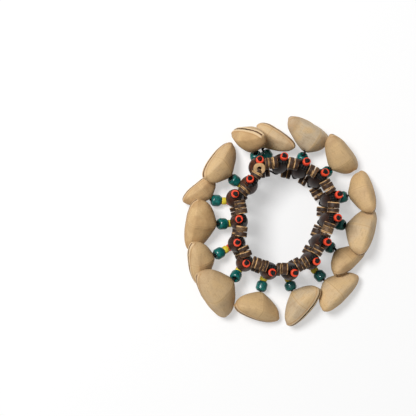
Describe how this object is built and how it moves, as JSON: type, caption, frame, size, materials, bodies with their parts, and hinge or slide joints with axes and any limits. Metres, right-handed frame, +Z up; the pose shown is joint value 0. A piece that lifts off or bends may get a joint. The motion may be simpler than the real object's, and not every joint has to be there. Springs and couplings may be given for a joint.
{
  "type": "seed pod shaker bracelet",
  "caption": "Stretch bracelet of dark wooden barrel beads and coconut discs; a beaded cord from each barrel carries a hollow seed pod, and the pods knock together as a shaker.",
  "frame": {"origin": "on the ground at the middle of the ring, where the lower band stands", "axes": "+Z up through the ring, from the pod end to the knotted end; +X to the right and +Y to the top of the picture"},
  "size_m": [0.1068, 0.1143, 0.0344],
  "materials": {
    "coconut_and_elastic": "satin",
    "dark_wood": "gloss",
    "cord_and_beads": "gloss",
    "seed_pod": "matt"
  },
  "bodies": {
    "ring": {"upper_band": "coconut_and_elastic", "lower_band": "coconut_and_elastic"},
    "barrel_bead_01": {"barrel_bead_01": "dark_wood"},
    "pod_cord_01": {"pod_cord_01": "cord_and_beads"},
    "pod_01": {"pod_01": "seed_pod"},
    "barrel_bead_02": {"barrel_bead_02": "dark_wood"},
    "pod_cord_02": {"pod_cord_02": "cord_and_beads"},
    "pod_02": {"pod_02": "seed_pod"},
    "barrel_bead_03": {"barrel_bead_03": "dark_wood"},
    "pod_cord_03": {"pod_cord_03": "cord_and_beads"},
    "pod_03": {"pod_03": "seed_pod"},
    "barrel_bead_04": {"barrel_bead_04": "dark_wood"},
    "pod_cord_04": {"pod_cord_04": "cord_and_beads"},
    "pod_04": {"pod_04": "seed_pod"},
    "barrel_bead_05": {"barrel_bead_05": "dark_wood"},
    "pod_cord_05": {"pod_cord_05": "cord_and_beads"},
    "pod_05": {"pod_05": "seed_pod"},
    "barrel_bead_06": {"barrel_bead_06": "dark_wood"},
    "pod_cord_06": {"pod_cord_06": "cord_and_beads"},
    "pod_06": {"pod_06": "seed_pod"},
    "barrel_bead_07": {"barrel_bead_07": "dark_wood"},
    "pod_cord_07": {"pod_cord_07": "cord_and_beads"},
    "pod_07": {"pod_07": "seed_pod"},
    "barrel_bead_08": {"barrel_bead_08": "dark_wood"},
    "pod_cord_08": {"pod_cord_08": "cord_and_beads"},
    "pod_08": {"pod_08": "seed_pod"},
    "barrel_bead_09": {"barrel_bead_09": "dark_wood"},
    "pod_cord_09": {"pod_cord_09": "cord_and_beads"},
    "pod_09": {"pod_09": "seed_pod"},
    "barrel_bead_10": {"barrel_bead_10": "dark_wood"},
    "pod_cord_10": {"pod_cord_10": "cord_and_beads"},
    "pod_10": {"pod_10": "seed_pod"},
    "barrel_bead_11": {"barrel_bead_11": "dark_wood"},
    "pod_cord_11": {"pod_cord_11": "cord_and_beads"},
    "pod_11": {"pod_11": "seed_pod"},
    "barrel_bead_12": {"barrel_bead_12": "dark_wood"},
    "pod_cord_12": {"pod_cord_12": "cord_and_beads"},
    "pod_12": {"pod_12": "seed_pod"},
    "barrel_bead_13": {"barrel_bead_13": "dark_wood"},
    "pod_cord_13": {"pod_cord_13": "cord_and_beads"},
    "pod_13": {"pod_13": "seed_pod"},
    "barrel_bead_14": {"barrel_bead_14": "dark_wood"},
    "pod_cord_14": {"pod_cord_14": "cord_and_beads"},
    "pod_14": {"pod_14": "seed_pod"},
    "barrel_bead_15": {"barrel_bead_15": "dark_wood"},
    "pod_cord_15": {"pod_cord_15": "cord_and_beads"},
    "pod_15": {"pod_15": "seed_pod"}
  },
  "joints": [
    {"name": "barrel_spin_01", "type": "hinge", "parent": "ring", "child": "barrel_bead_01", "pos_m": [-0.00019, 0.02703, 0.0061], "axis": [0.1013, 0.2321, 0.9674], "continuous": true},
    {"name": "cord_swing_01", "type": "hinge", "parent": "ring", "child": "pod_cord_01", "pos_m": [-0.00019, 0.02703, 0.0061], "axis": [-0.8358, -0.5491, 0], "range_deg": [-4, 12]},
    {"name": "pod_sway_01", "type": "hinge", "parent": "pod_cord_01", "child": "pod_01", "pos_m": [-0.00758, 0.03828, 0.00442], "axis": [-0.3819, -0.2612, 0.8865], "range_deg": [-4, 7]},
    {"name": "barrel_spin_02", "type": "hinge", "parent": "ring", "child": "barrel_bead_02", "pos_m": [0.01041, 0.02451, 0.0061], "axis": [0.1487, 0.2217, 0.9637], "continuous": true},
    {"name": "cord_swing_02", "type": "hinge", "parent": "ring", "child": "pod_cord_02", "pos_m": [0.01041, 0.02451, 0.0061], "axis": [-0.9368, 0.3498, 0], "range_deg": [-4, 12]},
    {"name": "pod_sway_02", "type": "hinge", "parent": "pod_cord_02", "child": "pod_02", "pos_m": [0.01457, 0.03566, 0.00949], "axis": [0.4589, -0.1043, 0.8823], "range_deg": [-10, 4]},
    {"name": "barrel_spin_03", "type": "hinge", "parent": "ring", "child": "barrel_bead_03", "pos_m": [0.01919, 0.01946, 0.0061], "axis": [0.186, 0.1964, 0.9627], "continuous": true},
    {"name": "cord_swing_03", "type": "hinge", "parent": "ring", "child": "pod_cord_03", "pos_m": [0.01919, 0.01946, 0.0061], "axis": [-0.6124, 0.7905, 0], "range_deg": [-8, 6]},
    {"name": "pod_sway_03", "type": "hinge", "parent": "pod_cord_03", "child": "pod_03", "pos_m": [0.02872, 0.02684, 0.00859], "axis": [0.3868, -0.3062, 0.8698], "range_deg": [-6, 8]},
    {"name": "barrel_spin_04", "type": "hinge", "parent": "ring", "child": "barrel_bead_04", "pos_m": [0.02572, 0.00896, 0.0061], "axis": [0.2155, 0.1507, 0.9648], "continuous": true},
    {"name": "cord_swing_04", "type": "hinge", "parent": "ring", "child": "pod_cord_04", "pos_m": [0.02572, 0.00896, 0.0061], "axis": [-0.2638, 0.9646, 0], "range_deg": [-8, 5]},
    {"name": "pod_sway_04", "type": "hinge", "parent": "pod_cord_04", "child": "pod_04", "pos_m": [0.03846, 0.01244, 0.006], "axis": [-0.2311, 0.3757, 0.8975], "range_deg": [-7, 5]},
    {"name": "barrel_spin_05", "type": "hinge", "parent": "ring", "child": "barrel_bead_05", "pos_m": [0.02496, -0.00192, 0.0061], "axis": [0.2229, 0.1024, 0.9694], "continuous": true},
    {"name": "cord_swing_05", "type": "hinge", "parent": "ring", "child": "pod_cord_05", "pos_m": [0.02496, -0.00192, 0.0061], "axis": [0.1589, 0.9873, 0], "range_deg": [-4, 3]},
    {"name": "pod_sway_05", "type": "hinge", "parent": "pod_cord_05", "child": "pod_05", "pos_m": [0.03707, -0.00387, 0.00802], "axis": [0.0925, 0.4488, 0.8888], "range_deg": [-7, 12]},
    {"name": "barrel_spin_06", "type": "hinge", "parent": "ring", "child": "barrel_bead_06", "pos_m": [0.01993, -0.01324, 0.0061], "axis": [0.2048, 0.0451, 0.9778], "continuous": true},
    {"name": "cord_swing_06", "type": "hinge", "parent": "ring", "child": "pod_cord_06", "pos_m": [0.01993, -0.01324, 0.0061], "axis": [0.3064, 0.9519, 0], "range_deg": [-2, 4]},
    {"name": "pod_sway_06", "type": "hinge", "parent": "pod_cord_06", "child": "pod_06", "pos_m": [0.03171, -0.01703, 0.00625], "axis": [0.2661, 0.4442, 0.8555], "range_deg": [-12, 9]},
    {"name": "barrel_spin_07", "type": "hinge", "parent": "ring", "child": "barrel_bead_07", "pos_m": [0.01507, -0.02268, 0.0061], "axis": [0.172, 0.0111, 0.985], "continuous": true},
    {"name": "cord_swing_07", "type": "hinge", "parent": "ring", "child": "pod_cord_07", "pos_m": [0.01507, -0.02268, 0.0061], "axis": [0.7235, 0.6903, 0], "range_deg": [-3, 12]},
    {"name": "pod_sway_07", "type": "hinge", "parent": "pod_cord_07", "child": "pod_07", "pos_m": [0.02543, -0.03354, 0.00625], "axis": [0.0652, 0.1824, 0.9811], "range_deg": [-2, 3]},
    {"name": "barrel_spin_08", "type": "hinge", "parent": "ring", "child": "barrel_bead_08", "pos_m": [0.00463, -0.02825, 0.0061], "axis": [0.1248, -0.0079, 0.9922], "continuous": true},
    {"name": "cord_swing_08", "type": "hinge", "parent": "ring", "child": "pod_cord_08", "pos_m": [0.00463, -0.02825, 0.0061], "axis": [0.9471, 0.3209, 0], "range_deg": [-8, 4]},
    {"name": "pod_sway_08", "type": "hinge", "parent": "pod_cord_08", "child": "pod_08", "pos_m": [0.00863, -0.04005, 0.00435], "axis": [-0.5715, 0.204, 0.7948], "range_deg": [-12, 12]},
    {"name": "barrel_spin_09", "type": "hinge", "parent": "ring", "child": "barrel_bead_09", "pos_m": [-0.006, -0.028, 0.0061], "axis": [0.0792, -0.0068, 0.9968], "continuous": true},
    {"name": "cord_swing_09", "type": "hinge", "parent": "ring", "child": "pod_cord_09", "pos_m": [-0.006, -0.028, 0.0061], "axis": [0.9668, -0.2554, 0], "range_deg": [-8, 10]},
    {"name": "pod_sway_09", "type": "hinge", "parent": "pod_cord_09", "child": "pod_09", "pos_m": [-0.0092, -0.04009, 0.00474], "axis": [0.4731, 0.1981, 0.8585], "range_deg": [-5, 12]},
    {"name": "barrel_spin_10", "type": "hinge", "parent": "ring", "child": "barrel_bead_10", "pos_m": [-0.01838, -0.02387, 0.0061], "axis": [0.0294, 0.0163, 0.9994], "continuous": true},
    {"name": "cord_swing_10", "type": "hinge", "parent": "ring", "child": "pod_cord_10", "pos_m": [-0.01838, -0.02387, 0.0061], "axis": [0.8435, -0.5372, 0], "range_deg": [-8, 3]},
    {"name": "pod_sway_10", "type": "hinge", "parent": "pod_cord_10", "child": "pod_10", "pos_m": [-0.02421, -0.03303, 0.01143], "axis": [0.3998, -0.3878, 0.8305], "range_deg": [-8, 8]},
    {"name": "barrel_spin_11", "type": "hinge", "parent": "ring", "child": "barrel_bead_11", "pos_m": [-0.0224, -0.01384, 0.0061], "axis": [-0.0006, 0.0495, 0.9988], "continuous": true},
    {"name": "cord_swing_11", "type": "hinge", "parent": "ring", "child": "pod_cord_11", "pos_m": [-0.0224, -0.01384, 0.0061], "axis": [0.4678, -0.8838, 0], "range_deg": [-2, 3]},
    {"name": "pod_sway_11", "type": "hinge", "parent": "pod_cord_11", "child": "pod_11", "pos_m": [-0.03445, -0.02021, 0.0082], "axis": [0.3624, -0.4362, 0.8236], "range_deg": [-9, 12]},
    {"name": "barrel_spin_12", "type": "hinge", "parent": "ring", "child": "barrel_bead_12", "pos_m": [-0.02097, -0.00261, 0.0061], "axis": [-0.0181, 0.0992, 0.9949], "continuous": true},
    {"name": "cord_swing_12", "type": "hinge", "parent": "ring", "child": "pod_cord_12", "pos_m": [-0.02097, -0.00261, 0.0061], "axis": [0.0237, -0.9997, 0], "range_deg": [-2, 3]},
    {"name": "pod_sway_12", "type": "hinge", "parent": "pod_cord_12", "child": "pod_12", "pos_m": [-0.03289, -0.00289, 0.00838], "axis": [0.0665, -0.3906, 0.9182], "range_deg": [-11, 4]},
    {"name": "barrel_spin_13", "type": "hinge", "parent": "ring", "child": "barrel_bead_13", "pos_m": [-0.02329, 0.00917, 0.0061], "axis": [-0.0104, 0.1588, 0.9872], "continuous": true},
    {"name": "cord_swing_13", "type": "hinge", "parent": "ring", "child": "pod_cord_13", "pos_m": [-0.02329, 0.00917, 0.0061], "axis": [-0.1099, -0.9939, 0], "range_deg": [-3, 12]},
    {"name": "pod_sway_13", "type": "hinge", "parent": "pod_cord_13", "child": "pod_13", "pos_m": [-0.03639, 0.01062, 0.00408], "axis": [0.1611, -0.2026, 0.9659], "range_deg": [-12, 8]},
    {"name": "barrel_spin_14", "type": "hinge", "parent": "ring", "child": "barrel_bead_14", "pos_m": [-0.01602, 0.01585, 0.0061], "axis": [0.0165, 0.1989, 0.9799], "continuous": true},
    {"name": "cord_swing_14", "type": "hinge", "parent": "ring", "child": "pod_cord_14", "pos_m": [-0.01602, 0.01585, 0.0061], "axis": [-0.5681, -0.8229, 0], "range_deg": [-8, 3]},
    {"name": "pod_sway_14", "type": "hinge", "parent": "pod_cord_14", "child": "pod_14", "pos_m": [-0.02569, 0.02252, 0.00832], "axis": [0.5379, 0.1493, 0.8297], "range_deg": [-12, 9]},
    {"name": "barrel_spin_15", "type": "hinge", "parent": "ring", "child": "barrel_bead_15", "pos_m": [-0.0118, 0.02543, 0.0061], "axis": [0.0516, 0.2223, 0.9736], "continuous": true},
    {"name": "cord_swing_15", "type": "hinge", "parent": "ring", "child": "pod_cord_15", "pos_m": [-0.0118, 0.02543, 0.0061], "axis": [-0.9987, -0.0504, 0], "range_deg": [-3, 4]},
    {"name": "pod_sway_15", "type": "hinge", "parent": "pod_cord_15", "child": "pod_15", "pos_m": [-0.01236, 0.03643, 0.01074], "axis": [-0.69, -0.5977, 0.4083], "range_deg": [-12, 12]}
  ]
}
